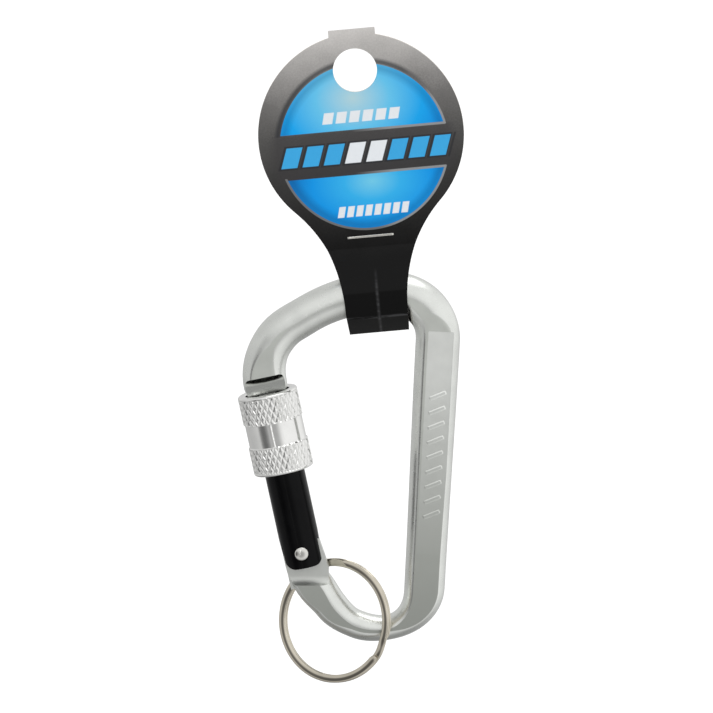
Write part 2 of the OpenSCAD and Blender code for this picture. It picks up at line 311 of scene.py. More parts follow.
def merged(shapes):
    points, faces = [], []
    for p, f in shapes:
        base = len(points)
        points += p
        faces += [tuple(base + i for i in face) for face in f]
    return points, faces


def arc(centre, radius, start, end, steps):
    """Points on an arc, angles in degrees."""
    out = []
    for i in range(steps + 1):
        a = math.radians(start + (end - start) * i / steps)
        out.append((centre[0] + radius * math.cos(a), centre[1] + radius * math.sin(a)))
    return out


def circle(centre, radius, steps):
    return arc(centre, radius, 0, 360, steps)[:-1]


def mirrored(outline):
    """The outline's other half, in reverse order."""
    return [(-x, z) for x, z in reversed(outline)]


def rounded_box(low, high, radius):
    """A rectangle's outline with round corners."""
    (x0, y0), (x1, y1) = low, high
    out = []
    for centre, start in (
        ((x1 - radius, y0 + radius), -90),
        ((x1 - radius, y1 - radius), 0),
        ((x0 + radius, y1 - radius), 90),
        ((x0 + radius, y0 + radius), 180),
    ):
        out += arc(centre, radius, start, start + 90, CORNER_STEPS)
    return out


def smooth(f):
    f = min(1.0, max(0.0, f))
    return f * f * (3.0 - 2.0 * f)


def power(x, e):
    return math.copysign(abs(x) ** e, x)


def sweep(path, section):
    """A section, a list of (a, b), carried along a path without twisting."""
    last = len(path) - 1
    points = []
    side = None
    for i, p in enumerate(path):
        t = (Vector(path[min(i + 1, last)]) - Vector(path[max(i - 1, 0)])).normalized()
        if side is None:
            side = t.orthogonal().normalized()
        side = (side - t * side.dot(t)).normalized()
        up = t.cross(side)
        points += [tuple(Vector(p) + side * a + up * b) for a, b in section]
    return points, tube_faces(len(path), len(section))


# ---------------------------------------------------------------- the clip's lines
RIVET = (-16.6736, -52.0809)
GATE_LEAN = math.radians(15.1)
BOW_WIDTH = 8.8
ARM_WIDTH = BOW_WIDTH - 0.6
SPINE_WIDTH = 9.4
HEEL_WIDTH = 5.3
TONGUE_WIDTH = 8.2
FLAT = 7.2
BLADE = 3.6


def on_gate(p):
    """A point drawn up the gate's axis from the hinge, in the row frame."""
    x, y, z = p
    c, s = math.cos(GATE_LEAN), math.sin(GATE_LEAN)
    return (RIVET[0] + x * c - z * s, y, RIVET[1] + x * s + z * c)


# Rows of [turn, radius or length, (width, inner round, outer round, flat)].
# The two rounds are the thicknesses that the side arcs would reach without the flat.
BOW = (BOW_WIDTH, BOW_WIDTH, BOW_WIDTH, BOW_WIDTH)
CROWN_RADIUS = 9.75
TOE_RADIUS = 12.6
HOOK_RADIUS = 12.4
SPINE_SIDE = [
    [-50.0, CROWN_RADIUS, (9.1, 8.85, 8.15, 8.05)],
    [-40.0, CROWN_RADIUS, (SPINE_WIDTH, 8.9, 10.4, FLAT)],
    [0.0, 53.2, (SPINE_WIDTH - 0.8, 8.9, 10.2, FLAT)],
    [-76.4, 9.3, (HEEL_WIDTH, 7.05, 7.1, FLAT - 0.2)],
    [-33.0, TOE_RADIUS, (HEEL_WIDTH + 0.8, 7.08, 7.4, FLAT - 0.13)],
    [-29.5, TOE_RADIUS, (HEEL_WIDTH + 1.9, 7.3, 9.2, FLAT)],
    [0.0, 5.0, (HEEL_WIDTH + 2.7, 7.6, 11.0, FLAT)],
    [-26.0, 14.0, (TONGUE_WIDTH, 8.2, 11.4, FLAT)],
    [0.0, 2.3, (TONGUE_WIDTH, 8.2, 11.4, FLAT)],
]
# The arm's straight and the nose's straight bring the nose onto the gate's axis.
ARM_STRAIGHT = 3.93889
NOSE_STRAIGHT = 1.75944
NOSE_SIDE = [
    [34.0, 32.0, (ARM_WIDTH, ARM_WIDTH, ARM_WIDTH, ARM_WIDTH)],
    [0.0, ARM_STRAIGHT, (BOW_WIDTH - 0.5, BOW_WIDTH - 0.8, BOW_WIDTH - 0.8, BOW_WIDTH - 0.8)],
    [26.0, HOOK_RADIUS, (8.6, 8.1, 8.1, 8.0)],
    [45.1, HOOK_RADIUS, (9.3, 8.9, 9.3, FLAT)],
    [0.0, NOSE_STRAIGHT, (8.6, 8.8, 9.2, FLAT)],
]
STATION_PITCH = 0.55


def along(p, heading, turn, size, f):
    """The point a fraction f along a bend of radius size, or a straight of length size."""
    if turn == 0.0:
        a = math.radians(heading)
        return (p[0] + size * f * math.cos(a), p[1] + size * f * math.sin(a))
    a, b = math.radians(heading), math.radians(heading + turn * f)
    k = math.copysign(size, turn)
    return (p[0] + k * (math.sin(b) - math.sin(a)), p[1] + k * (math.cos(a) - math.cos(b)))


def stations(chain, heading):
    """Stations of a chain from the bow's apex: (point, heading, section)."""
    p = (0.0, BOW_WIDTH / 2)
    before = BOW
    out = []
    for turn, size, section in chain:
        length = size if turn == 0.0 else size * abs(math.radians(turn))
        steps = max(2, math.ceil(length / STATION_PITCH))
        for j in range(steps):
            f = j / steps
            blend = smooth(f)
            here = tuple(a + (b - a) * blend for a, b in zip(before, section))
            out.append((along(p, heading, turn, size, f), heading + turn * f, here))
        p, heading, before = along(p, heading, turn, size, 1.0), heading + turn, section
    out.append((p, heading, before))
    return out


ARC_STEPS = 22
FLAT_STEPS = 6
CREASE = 0.13
ROUNDEST = 0.9994


def bar_section(width, inner, outer, flat):
    """A bar with rounded sides and two pressed flats, as (outward, forward) points."""
    half, h = width / 2, flat / 2
    edge = {}
    for side, full in ((1, outer), (-1, inner)):
        reach = max(full, flat) / 2
        a = math.asin(min(ROUNDEST, h / reach))
        edge[side] = (a, half * math.cos(a), reach)
    cut = min(CREASE, 0.2 * (edge[1][1] + edge[-1][1]))
    out = []
    for side in (1, -1):
        a, u, b = edge[side]
        a -= cut / half
        for k in range(ARC_STEPS + 1):
            t = -a + 2 * a * k / ARC_STEPS
            out.append((side * half * math.cos(t), side * b * math.sin(t)))
        start, end = side * (u - cut), -side * (edge[-side][1] - cut)
        for k in range(FLAT_STEPS + 1):
            out.append((start + (end - start) * k / FLAT_STEPS, side * h))
    return out


# ---------------------------------------------------------------- frame
# The frame's material slots.
CAST, PRESSED, MILLED, BLASTED, UNDERCUT = range(5)
FLAT_NORMAL = 0.9998

NOSE_STEP, NOSE_REACH = 36.9, 6.0
TONGUE_STEP, TONGUE_REACH = -5.25, 14.0
TONGUE_TILT = math.radians(-11.8)
STEP_RADIUS = (FLAT - BLADE) / 2
STEP_HALF, STEP_DEEP = 9.0, 8.0

PANEL_X = CROWN_RADIUS + 0.6
PANEL_WIDTH = 5.4
PANEL_TOP = -2.8
PANEL_LENGTH = 48.0
PANEL_DEPTH = 0.3
PANEL_CORNER = 0.25
PANEL_SLOPE = math.atan(PANEL_DEPTH / PANEL_LENGTH)

RELIEF_COUNT = 9
RELIEF_PITCH = 3.2
RELIEF_START = 13.8
RELIEF_SLANT = math.radians(25)
RELIEF_BAR = (3.8, 0.9)
RELIEF_HEIGHT = 0.12
RELIEF_CORNER = 0.2
RELIEF_ROOT = 0.4

# Heights up the gate's axis from the rivet, and places across it.
PIVOT_R = 1.3
TONGUE_TIP, TONGUE_FOOT, TONGUE_BACK = 3.5, -7.5, -3.9
TONGUE_FRONT = [(4.2, TONGUE_FOOT), (4.9, -4.6), (4.1, 2.0), (2.0, 3.75)]
LATCH_Z, LATCH_R, LATCH_GAP = 33.3, 0.65, 0.12
HOOK_HALF, HOOK_FOOT, HOOK_TOP = 1.75, 31.9, 35.8
PLATE_HALF = BLADE / 2 - 0.004


def frame_materials():
    """The metals in the order of the frame's slots."""
    # Painted shade: the pressed flats and the blasted panel turn darker towards the clip's foot.
    pressed_painted_shade = (-12, -66, linear(178, 181, 175))
    blasted_painted_shade = (-10, -54, linear(186, 189, 183))
    milling = (1, 1, 6)
    return [
        metal("cast_aluminium", linear(222, 224, 220), 0.3, 0.04, 0.5, 0.0005),
        metal("pressed_flat", linear(220, 223, 217), 0.36, 0.04, 0.4, 0.001, foot=pressed_painted_shade),
        metal("milled_step", linear(208, 210, 206), 0.48, 0.06, 0.25, 0.002, milling),
        metal("blasted_panel", linear(246, 248, 244), 0.37, 0.05, 0.3, 0.003, foot=blasted_painted_shade),
        # A darker copy of the milled finish: its base colour is painted shade in the nose's undercut.
        metal("nose_undercut_painted_shade", linear(196, 198, 194), 0.2, 0.05, 0.25, 0.002, milling),
    ]


def frame_bar(materials):
    """The bent bar from the nose round the bow and the spine to the tongue."""
    left = stations(NOSE_SIDE, 180.0)
    right = stations(SPINE_SIDE, 0.0)
    path = [(p, h + 180.0, s) for p, h, s in reversed(left[1:])] + right
    points = []
    for (x, z), heading, section in path:
        a = math.radians(heading)
        for u, v in bar_section(*section):
            points.append((x - u * math.sin(a), v, z + u * math.cos(a)))
    sides = len(points) // len(path)
    faces = tube_faces(len(path), sides)
    half = sides // 2
    indices = []
    for i, face in enumerate(faces):
        k = i % sides % half
        flat = len(face) == 4 and ARC_STEPS < k < half - 1
        indices.append(PRESSED if flat else CAST)
    return mesh_object("clip_frame", points, faces, materials, indices)


def step_cutter(reach, place):
    """Leaves the blade below height 0, with a quarter-round cove above it."""
    shapes = []
    blade = BLADE / 2
    for side in (1, -1):
        outline = [(blade, -reach), (blade, 0.0)]
        outline += arc((blade + STEP_RADIUS, 0.0), STEP_RADIUS, 180, 90, 14)[1:]
        outline += [(STEP_DEEP, STEP_RADIUS), (STEP_DEEP, -reach)]
        shapes.append(
            prism(outline, -STEP_HALF, STEP_HALF, lambda y, z, x, s=side: place((x, s * y, z)))
        )
    return merged(shapes)


def on_nose(p):
    return on_gate((p[0], p[1], p[2] + NOSE_STEP))


def on_tongue(p):
    """Up is down here: the cove lies below the blade, tilted a little."""
    x, y, z = p[0], p[1], -p[2]
    c, s = math.cos(TONGUE_TILT), math.sin(TONGUE_TILT)
    return on_gate((x * c - z * s, y, x * s + z * c + TONGUE_STEP))


def on_panel(x, z, y):
    """A point over the panel's floor, which runs out to nothing at its foot."""
    down = z - PANEL_TOP
    c, s = math.cos(PANEL_SLOPE), math.sin(PANEL_SLOPE)
    return (x, PANEL_DEPTH - FLAT / 2 + y * c + down * s, PANEL_TOP - y * s + down * c)


def panel_recess():
    left, right = PANEL_X - PANEL_WIDTH / 2, PANEL_X + PANEL_WIDTH / 2
    outline = rounded_box((left, PANEL_TOP - PANEL_LENGTH), (right, PANEL_TOP), PANEL_CORNER)
    return prism(outline, -1.0, 0.0, on_panel)


def relief_bars():
    """Plain slanted bars, raised from the panel's floor with a soft upper edge."""
    w, h = RELIEF_BAR
    c, s = math.cos(RELIEF_SLANT), math.sin(RELIEF_SLANT)
    levels = ((0.0, RELIEF_ROOT), (0.0, -RELIEF_HEIGHT * 0.3), (0.2, -RELIEF_HEIGHT))
    shapes = []
    for i in range(RELIEF_COUNT):
        z0 = PANEL_TOP - RELIEF_START - i * RELIEF_PITCH
        points = []
        for inset, y in levels:
            a1, b1 = w / 2 - inset, h / 2 - inset
            ring = rounded_box((-a1, -b1), (a1, b1), RELIEF_CORNER)
            points += [on_panel(PANEL_X + a * c - b * s, z0 + a * s + b * c, y) for a, b in ring]
        shapes.append((points, tube_faces(len(levels), len(ring))))
    return merged(shapes)


def gate_prism(outline, low, high):
    """An outline seen from the front, drawn up the gate's axis, from low to high in depth."""
    return prism(outline, low, high, lambda x, z, y: on_gate((x, y, z)))


def blade_plates():
    """The tongue with its cam, and the hook that catches the latch pin."""
    tongue = [(TONGUE_BACK, TONGUE_FOOT), *TONGUE_FRONT, (0.0, TONGUE_TIP)]
    tongue += arc((0, 0), TONGUE_TIP, 100, 180, 10) + [(TONGUE_BACK, 0.0)]
    clear = LATCH_R + LATCH_GAP
    low, high = LATCH_Z - clear, LATCH_Z + clear
    hook = [(-HOOK_HALF, HOOK_FOOT), (HOOK_HALF, HOOK_FOOT), (HOOK_HALF, low), (0.0, low)]
    hook += arc((0, LATCH_Z), clear, 270, 90, 10)[1:-1]
    hook += [(0.0, high), (HOOK_HALF, high), (HOOK_HALF, HOOK_TOP), (-HOOK_HALF, HOOK_TOP)]
    return merged([gate_prism(outline, -PLATE_HALF, PLATE_HALF) for outline in (tongue, hook)])


def make_frame():
    materials = frame_materials()
    obj = frame_bar(materials)
    combine(obj, "DIFFERENCE", step_cutter(NOSE_REACH, on_nose), materials, UNDERCUT)
    combine(obj, "DIFFERENCE", step_cutter(TONGUE_REACH, on_tongue), materials, MILLED)
    combine(obj, "DIFFERENCE", panel_recess(), materials, BLASTED)
    combine(obj, "UNION", relief_bars(), materials, BLASTED)
    combine(obj, "UNION", blade_plates(), materials, MILLED)
    bore = gate_prism(circle((0, 0), PIVOT_R, 40), -6.0, 6.0)
    combine(obj, "DIFFERENCE", bore, materials, MILLED)
    finish_piece(obj, "clip_frame", "frame_metal", "frame")
    for polygon in obj.data.polygons:
        polygon.use_smooth = abs(polygon.normal.y) < FLAT_NORMAL


make_frame()

# ---------------------------------------------------------------- gate
GATE_R = 4.25
GATE_FOOT, GATE_REACH = -6.0, 34.35
TIP_ROUND = 0.35
THREAD = (18.6, 33.9)
THREAD_DEPTH = 0.3
THREAD_PITCH = 1.0

# Seen from the front, the rod narrows towards its foot, whose two corners are round.
FOOT_HALF, CLEAR_HALF, TAPER_TOP, CLEAR_TOP = 4.0, 4.6, 9.0, 36.0
FRONT_CORNER, FRONT_CORNER_R = (2.3, -1.5), 1.7
BACK_CORNER, BACK_CORNER_R = (-1.6, -0.8), 2.4

# The gap between the fork's cheeks, and the slot at the tip, have the same width.
GAP_HALF = 1.95
FORK_TOP, FORK_BACK_R = 7.5, 4.2
SLOT_FOOT, SLOT_TOP = 30.5, 38.0
BORE_R, BORE_FOOT, BORE_TOP, BORE_POINT = 2.3, 0.5, 24.0, 24.6
PIN_R = 1.25
SINK_R, SINK_FACE = 1.65, 3.95
# How far the cutters go, past the rod's surface, in depth and across.
OVER = 6.0
WIDE = 8.0


def thread_wrinkle(radius, height, angle):
    """A right-hand screw thread between the thread's two ends."""
    low, high = THREAD
    if radius < GATE_R - 0.01 or not low < height < high:
        return radius
    turn = (height / THREAD_PITCH - angle / (2 * math.pi)) % 1.0
    ridge = min(1.0, max(0.0, (0.5 - abs(turn - 0.5)) * 4 - 0.5))
    fade = min(1.0, (height - low) / 0.8, (high - height) / 0.4)
    return radius - THREAD_DEPTH * (1.0 - ridge) * max(0.0, fade)


def black_anodised():
    """A near-black finish with a faint grain along the rod."""
    s = Shader("black_anodised", Metallic=0.0, IOR=1.45)
    cloud = s.noise(3.0, 2.0)
    fine = s.noise(0.25, 4.0, (1, 1, 0.25), 0.6)
    s.set("Base Color", s.ramp(cloud, [(0.35, linear(2, 2, 3)), (0.7, linear(6, 6, 7))]))
    s.set("Roughness", s.ramp(fine, [(0.3, 0.16), (0.75, 0.26)]))
    s.bump(fine, 0.004)
    s.set("Specular IOR Level", 0.12)
    return s.material


def gate_rod():
    """The rod with its thread, from the foot to the tip."""
    heights = list(np.arange(GATE_FOOT, THREAD[0], 0.6))
    heights += list(np.arange(THREAD[0], THREAD[1] + 0.02, 0.1))
    tip_r = GATE_R - 0.05
    profile = [(AXIS_R, GATE_FOOT)] + [(GATE_R, z) for z in heights]
    profile += [(tip_r, GATE_REACH - TIP_ROUND), (tip_r - TIP_ROUND, GATE_REACH), (AXIS_R, GATE_REACH)]
    return lathe(profile, 96, on_gate, thread_wrinkle)


def gate_outline():
    """The gate seen from the front: round at the foot, and clear of the rod higher up."""
    x, z = FRONT_CORNER
    outline = [(x, z - FRONT_CORNER_R)] + arc(FRONT_CORNER, FRONT_CORNER_R, -80, 0, 6)
    right = [(FOOT_HALF, 0.0), (CLEAR_HALF, TAPER_TOP), (CLEAR_HALF, CLEAR_TOP)]
    outline += right + mirrored(right)
    return outline + arc(BACK_CORNER, BACK_CORNER_R, 180, 260, 8)


def gate_cuts():
    """What is taken out of the rod: the fork's gap, the slot, the bore and the pins' holes."""
    fork = [(-WIDE, -WIDE), (WIDE, -WIDE), (WIDE, FORK_TOP), (0.0, FORK_TOP)]
    fork += arc((0, 0), FORK_BACK_R, 90, 180, 14)[1:] + [(-WIDE, 0)]
    yield gate_prism(fork, -GAP_HALF, GAP_HALF)
    slot = [(-WIDE, SLOT_FOOT), (WIDE, SLOT_FOOT), (WIDE, SLOT_TOP), (-WIDE, SLOT_TOP)]
    yield gate_prism(slot, -GAP_HALF, GAP_HALF)
    bore = [(AXIS_R, BORE_FOOT), (BORE_R, BORE_FOOT), (BORE_R, BORE_TOP), (AXIS_R, BORE_POINT)]
    yield lathe(bore, 40, on_gate)
    for radius, z, low, high in (
        (PIN_R, 0.0, -OVER, OVER),
        (LATCH_R, LATCH_Z, -OVER, OVER),
        (SINK_R, 0.0, SINK_FACE, OVER),
        (SINK_R, 0.0, -OVER, -SINK_FACE),
    ):
        yield gate_prism(circle((0, z), radius, 32), low, high)


def make_gate():
    materials = [black_anodised()]
    points, faces = gate_rod()
    obj = mesh_object("gate_rod", points, faces, materials)
    combine(obj, "INTERSECT", gate_prism(gate_outline(), -OVER, OVER), materials)
    for cut in gate_cuts():
        combine(obj, "DIFFERENCE", cut, materials)
    soften(obj, 0.12, 40.0)
    finish_piece(obj, "gate", "gate_black", "gate")


make_gate()

# ---------------------------------------------------------------- rivet, pin, plunger, spring
STEEL = metal("polished_steel", linear(214, 213, 208), 0.14, 0.04, 0.3, 0.003)
INNER_STEEL = metal("satin_steel", linear(190, 190, 188), 0.32, 0.06, 0.25, 0.004)

HEAD_R, HEAD_RIM, HEAD_DOME = 1.45, 0.25, 0.4
PLUNGER_TOP = 3.83 + 2.2
SPRING_R, SPRING_WIRE, SPRING_TURNS = 1.75, 0.24, 13
SPRING_ROOM = SPRING_WIRE + 0.03


def make_rivet():
    """A shank through the fork, with a domed head in each sunk seat."""
    steps = 12
    profile = [(AXIS_R, SINK_FACE + HEAD_RIM + HEAD_DOME)]
    for k in range(1, steps + 1):
        a = math.radians(90.0 * k / steps)
        rise = HEAD_RIM * 0.6 + (HEAD_DOME + HEAD_RIM * 0.4) * math.cos(a)
        profile.append((HEAD_R * math.sin(a), SINK_FACE + rise))
    profile += [(HEAD_R, SINK_FACE + 0.02), (PIN_R, SINK_FACE), (PIN_R - 0.01, SINK_FACE)]
    profile += [(r, -h) for r, h in reversed(profile)]
    points, faces = lathe(profile, 64, lambda p: on_gate((p[0], -p[2], p[1])))
    obj = mesh_object("hinge_rivet_domed", points, faces, [STEEL])
    finish_piece(obj, "gate", "rivet_steel", "hinge_rivet")


def make_spring():
    """The coil spring, from the plunger up to the bore's closed end, with its coils closer at both ends.
    """
    bottom, top = PLUNGER_TOP + SPRING_ROOM, BORE_TOP - SPRING_ROOM
    steps = 22
    path = []
    for i in range(SPRING_TURNS * steps + 1):
        f = i / (SPRING_TURNS * steps)
        height = bottom + (top - bottom) * (smooth(f) * 0.25 + f * 0.75)
        a = 2 * math.pi * i / steps
        path.append(on_gate((SPRING_R * math.cos(a), SPRING_R * math.sin(a), height)))
    points, faces = sweep(path, circle((0, 0), SPRING_WIRE, 10))
    obj = mesh_object("gate_coil_spring", points, faces, [INNER_STEEL])
    finish_piece(obj, "gate", "inner_steel", "gate_spring")
    anchor = tuple(c * MM for c in on_gate((0, 0, top)))
    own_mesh(obj)


make_rivet()
make_spring()
for node, material in (("latch_pin", STEEL), ("spring_plunger", INNER_STEEL)):
    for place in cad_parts[node].material_slots:
        place.material = material

# ---------------------------------------------------------------- locking sleeve
SLEEVE_BOTTOM = 17.8
SLEEVE_LENGTH = 17.3
SLEEVE_R = 6.4
SLEEVE_RIM = 0.5
BAND = 6.1
WAIST_R = SLEEVE_R - 0.27
WAIST_STEP = 0.12
LAND_R, LAND_TOP, LAND_CHAMFER = 4.35, 5.0, 0.3
SOCKET_R, SOCKET_FOOT, SOCKET_CHAMFER = 4.75, 5.4, 0.25
KNURL_COUNT = 32
KNURL_RISE = 2.5
KNURL_DEPTH = 0.24
KNURL_SHARPNESS = 1.7
KNURL_FADE = 0.2


def triangle(x):
    x = x % 1.0
    return 1.0 - abs(2.0 * x - 1.0)


def knurl(radius, height, angle):
    """Two crossing families of grooves leave small pyramids on the bands."""
    z = height - SLEEVE_BOTTOM
    upper = SLEEVE_LENGTH - BAND
    if radius < SLEEVE_R - 0.02 or (BAND <= z <= upper):
        return radius
    edge = min(z - SLEEVE_RIM, abs(z - BAND), abs(z - upper), SLEEVE_LENGTH - SLEEVE_RIM - z)
    fade = min(1.0, max(0.0, edge / KNURL_FADE))
    around = angle * KNURL_COUNT / (2 * math.pi)
    up = z / KNURL_RISE
    tooth = min(triangle(around + up), triangle(around - up)) * KNURL_SHARPNESS
    return radius - KNURL_DEPTH * fade * (1.0 - min(1.0, tooth))


def sleeve_profile():
    """Two bands and a waist outside, and a land with a wider socket above it inside."""
    pitch, coarse = 0.1, 0.5
    upper = SLEEVE_LENGTH - BAND
    corner = SLEEVE_R - SLEEVE_RIM
    low_band = np.arange(SLEEVE_RIM + pitch, BAND, pitch)
    waist = np.arange(BAND + coarse, upper - 0.2, coarse)
    high_band = np.arange(upper + 0.001, SLEEVE_LENGTH - SLEEVE_RIM, pitch)
    profile = [(LAND_R, LAND_CHAMFER), (LAND_R + LAND_CHAMFER, 0.0)]
    profile += arc((corner, SLEEVE_RIM), SLEEVE_RIM, -90, 0, 5)
    profile += [(SLEEVE_R, z) for z in low_band]
    profile += [(WAIST_R, z) for z in (BAND + WAIST_STEP, *waist, upper - WAIST_STEP)]
    profile += [(SLEEVE_R, z) for z in high_band]
    profile += arc((corner, SLEEVE_LENGTH - SLEEVE_RIM), SLEEVE_RIM, 0, 90, 5)
    profile += [(SOCKET_R + SOCKET_CHAMFER, SLEEVE_LENGTH), (SOCKET_R, SLEEVE_LENGTH - SOCKET_CHAMFER)]
    profile += [(SOCKET_R, SOCKET_FOOT), (LAND_R, LAND_TOP)]
    return [(r, SLEEVE_BOTTOM + z) for r, z in profile]


def make_sleeve():
    bright = metal("bright_aluminium", linear(232, 232, 230), 0.12, 0.04, 0.4, 0.002)
    points, faces = lathe(sleeve_profile(), KNURL_COUNT * 15, on_gate, knurl)
    obj = mesh_object("knurled_sleeve", points, faces, [bright])
    finish_piece(obj, "sleeve", "sleeve_metal", "lock_sleeve")


make_sleeve()

# ---------------------------------------------------------------- split ring
RING_CENTRE = (-8.9, 0.4, -66.9)
RING_YAW, RING_PITCH = math.radians(-28), math.radians(-7)
RING_D, WIRE_W, WIRE_T = 26.5, 1.7, 0.7
WIRE_SIDES = 20
TURNS_GAP = 0.012
JOG_ANGLE, JOG_SPAN, RING_WRAP = 20.0, 20.0, 700.0
RING_STEPS = 350
# The wire's thickness at its first and last stations, as shares of the whole.
WIRE_END = (0.55, 0.82, 0.95)


def make_ring():
    """A flat wire wound nearly twice round, with a jog where one turn passes to the other."""
    nickel = metal("nickel_plate", linear(206, 199, 184), 0.07, 0.02, 0.5, 0.0015, tint=0.12)
    turn = Matrix.Rotation(RING_YAW, 3, "Z") @ Matrix.Rotation(RING_PITCH - math.pi / 2, 3, "X")
    mean, half_w, half_t = RING_D / 2 - WIRE_W / 2, WIRE_W / 2, WIRE_T / 2 - TURNS_GAP
    section = []
    for k in range(WIRE_SIDES):
        a = 2 * math.pi * (k + 0.5) / WIRE_SIDES
        section.append((half_w * math.cos(a), half_t * math.sin(a)))
    start = JOG_ANGLE + JOG_SPAN / 2
    points = []
    for i in range(RING_STEPS + 1):
        degrees = start + RING_WRAP * i / RING_STEPS
        a = math.radians(degrees)
        z = WIRE_T * (smooth((degrees - JOG_ANGLE - 360) / JOG_SPAN + 0.5) - 0.5)
        end = min(i, RING_STEPS - i)
        taper = WIRE_END[end] if end < len(WIRE_END) else 1.0
        for u, v in section:
            r = mean + u * taper
            p = turn @ Vector((r * math.cos(a), r * math.sin(a), z + v * taper))
            points.append(tuple(p + Vector(RING_CENTRE)))
    faces = tube_faces(RING_STEPS + 1, WIRE_SIDES)
    obj = mesh_object("split_ring_wire", points, faces, [nickel])
    finish_piece(obj, "ring", "ring_nickel", "split_ring")


make_ring()

# ---------------------------------------------------------------- hang tag
TAG_CENTRE = (-3.9, 0.0, 4.2)
TAG_LEAN = math.radians(8.3)
CARD = 0.4
LAYER_GAP = 0.015
FACE_Q, FACE_R = 34.0, 21.75
HOLE_Q, HOLE_R = 47.9, 4.65
TAB_HALF, TAB_TOP = 4.95, 56.7
NECK_HALF, FLARE_R = 6.6, 30.0
FOLD_HALF, FOLD_BOTTOM, FOLD_FLAT = 6.3, -8.1, 0.15
LOOP_JOIN, LOOP_GAP, LOOP_TOP, LOOP_BOTTOM = 9.8, 5.7, 1.3, -4.2

# The print, in millimetres across and up the card from its middle on the bow.
EDGE = 0.12
FADE_FOOT, FADE_SPAN = -10.0, 70.0
FADE = [(-10, 4), (8, 6), (13, 22), (20, 42), (27, 58), (34, 76), (42, 108), (50, 158), (58, 202)]
DISC_P, DISC_Q, DISC_R = 0.3, 31.7, 17.65
STRIPE_FOOT, STRIPE_TOP = 25.6, 35.3
# Glows of (centre, upward stretch, reach, stops).
GLOW_TOP = (
    (-1.0, 42.0),
    1.2,
    19.5,
    [(0.0, (172, 204, 212)), (0.4, (96, 188, 228)), (0.75, (16, 158, 228)), (1.0, (0, 134, 214))],
)
GLOW_LOW = (
    (1.5, 24.0),
    1.5,
    17.0,
    [(0.0, (110, 196, 226)), (0.35, (48, 170, 228)), (0.75, (4, 144, 222)), (1.0, (0, 112, 186))],
)
# Rows of bars: (left, right, foot, top, pitch, gap, slant).
SMALL_ROWS = ((-8.3, 8.5, 36.9, 39.3, 2.8, 0.7, 0.25), (-6.8, 8.6, 16.7, 19.0, 1.925, 0.55, 0.25))
BIG_FOOT, BIG_PITCH, BIG_SLANT = 28.2, 4.5, 0.35
BIG_ROW = (-18.0, 18.0, BIG_FOOT, 32.5, BIG_PITCH, 1.1, BIG_SLANT)
BIG_ROW_SHADE = (-18.3, 18.3, 27.8, 32.9, BIG_PITCH, 0.3, BIG_SLANT)
PATCH = (-13.0, 13.0, 27.5, 33.5)


def on_tag(p):
    """A point drawn up the tag from its middle on the bow, in the row frame."""
    x, y, z = p
    c, s = math.cos(TAG_LEAN), math.sin(TAG_LEAN)
    return (TAG_CENTRE[0] + x * c - z * s, y, TAG_CENTRE[2] + x * s + z * c)


class CardShader(Shader):
    """A shader with the card's own places: p across, q up, disc from the disc's centre."""

    def __init__(self, name, **values):
        super().__init__(name, **values)
        axes = self.axes()
        x = self.math("SUBTRACT", axes[0], TAG_CENTRE[0] * MM)
        z = self.math("SUBTRACT", axes[2], TAG_CENTRE[2] * MM)
        c, n = math.cos(TAG_LEAN) / MM, math.sin(TAG_LEAN) / MM
        self.p = self.math("ADD", self.scaled(x, c), self.scaled(z, n))
        self.q = self.math("SUBTRACT", self.scaled(z, c), self.scaled(x, n))
        self.disc = self.distance(DISC_P, DISC_Q)
        self.front = self.math("LESS_THAN", axes[1], 0.0)

    def scaled(self, value, factor):
        return self.math("MULTIPLY", value, factor)

    def flip(self, mask):
        return self.math("SUBTRACT", 1.0, mask)

    def both(self, *masks):
        out = masks[0]
        for mask in masks[1:]:
            out = self.math("MULTIPLY", out, mask)
        return out

    def either(self, first, second):
        return self.math("MAXIMUM", first, second)

    def beyond(self, value, edge, soft=EDGE):
        """1 where value is over edge, 0 under it, with a soft change."""
        past = self.math("DIVIDE", self.math("SUBTRACT", value, edge), soft)
        return self.math("ADD", past, 0.5, clamp=True)

    def below(self, value, edge, soft=EDGE):
        return self.flip(self.beyond(value, edge, soft))

    def within(self, value, low, high, soft=EDGE):
        return self.both(self.beyond(value, low, soft), self.below(value, high, soft))

    def near(self, value, at, half):
        """1 on a line, falling to 0 at half a width from it."""
        gap = self.math("ABSOLUTE", self.math("SUBTRACT", value, at))
        return self.math("SUBTRACT", 1.0, self.math("DIVIDE", gap, half), clamp=True)

    def distance(self, p, q, stretch=1.0):
        """How far a place on the card is from (p, q), with the upward part stretched."""
        dp = self.math("SUBTRACT", self.p, p)
        dq = self.scaled(self.math("SUBTRACT", self.q, q), stretch)
        return self.math("SQRT", self.math("ADD", self.scaled(dp, dp), self.scaled(dq, dq)))

    def leaned(self, foot, slant):
        """p, moved back by slant for each millimetre over foot."""
        return self.math("SUBTRACT", self.p, self.scaled(self.math("SUBTRACT", self.q, foot), slant))

    def bars(self, left, right, foot, top, pitch, gap, slant):
        """A plain row of bars, each leaning by slant."""
        across = self.leaned(foot, slant)
        cell = self.math("PINGPONG", self.math("SUBTRACT", across, left), pitch / 2)
        row = self.both(self.within(across, left, right), self.within(self.q, foot, top))
        return self.both(row, self.beyond(cell, gap / 2))


def card_fade(s):
    """The card's grey, from black at the fold to pale at the top, a little uneven."""
    grain = s.noise(0.35, 3.0)
    cloud = s.noise(7.0, 2.0)
    height = s.q
    for noise in (cloud, grain):
        height = s.math("ADD", height, s.scaled(s.math("SUBTRACT", noise, 0.5), 5.0))
    height = s.math("DIVIDE", s.math("SUBTRACT", height, FADE_FOOT), FADE_SPAN, clamp=True)
    stops = [((at - FADE_FOOT) / FADE_SPAN, linear(v, v * 0.985, v * 0.97)) for at, v in FADE]
    return s.ramp(height, stops)


